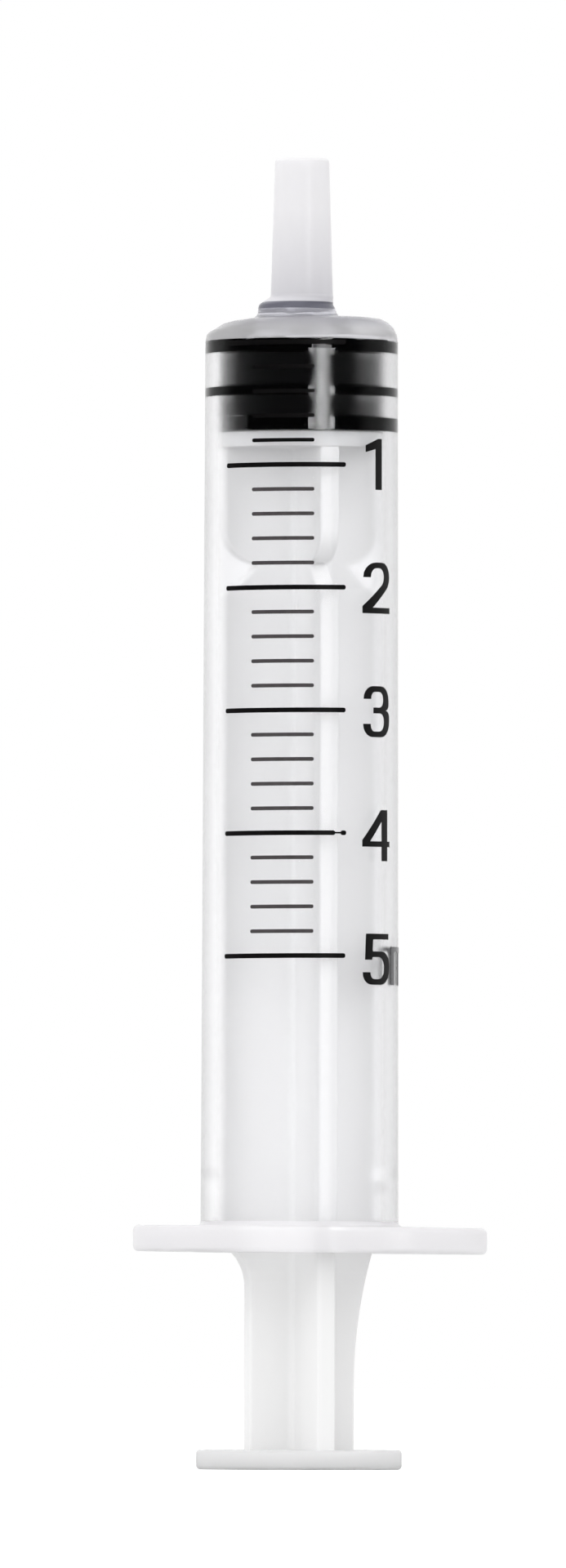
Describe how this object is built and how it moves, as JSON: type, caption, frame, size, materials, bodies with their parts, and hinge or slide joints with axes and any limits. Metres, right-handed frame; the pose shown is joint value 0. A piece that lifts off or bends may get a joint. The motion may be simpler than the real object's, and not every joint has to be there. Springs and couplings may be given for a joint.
{
  "type": "luer slip syringe",
  "caption": "Disposable syringe with a translucent barrel, finger flange, printed scale, black rubber gasket and ribbed plunger rod.",
  "frame": {"origin": "centre of the thumb rest's outer face, on the barrel's axis, with the plunger pushed fully in", "axes": "+Z along the axis from the thumb rest to the nozzle, -Y towards the middle of the printed scale, X along the finger flange"},
  "size_m": [0.0257, 0.0164, 0.0948],
  "materials": {
    "barrel_plastic": "translucent polypropylene, smooth",
    "rod_plastic": "milky polypropylene, satin",
    "gasket_rubber": "black rubber, satin",
    "scale_ink": "black printing ink"
  },
  "bodies": {
    "barrel": {"barrel": "barrel_plastic", "scale_print": "scale_ink"},
    "gasket": {"gasket": "gasket_rubber"},
    "plunger": {"plunger_rod": "rod_plastic"}
  },
  "joints": [
    {"name": "plunger_slide", "type": "slide", "parent": "barrel", "child": "gasket", "axis": [0, 0, -1], "range_m": [0, 0.0523]},
    {"name": "rod_swivel", "type": "hinge", "parent": "gasket", "child": "plunger", "pos_m": [0, 0, 0.077], "axis": [0, 0, 1], "continuous": true}
  ]
}
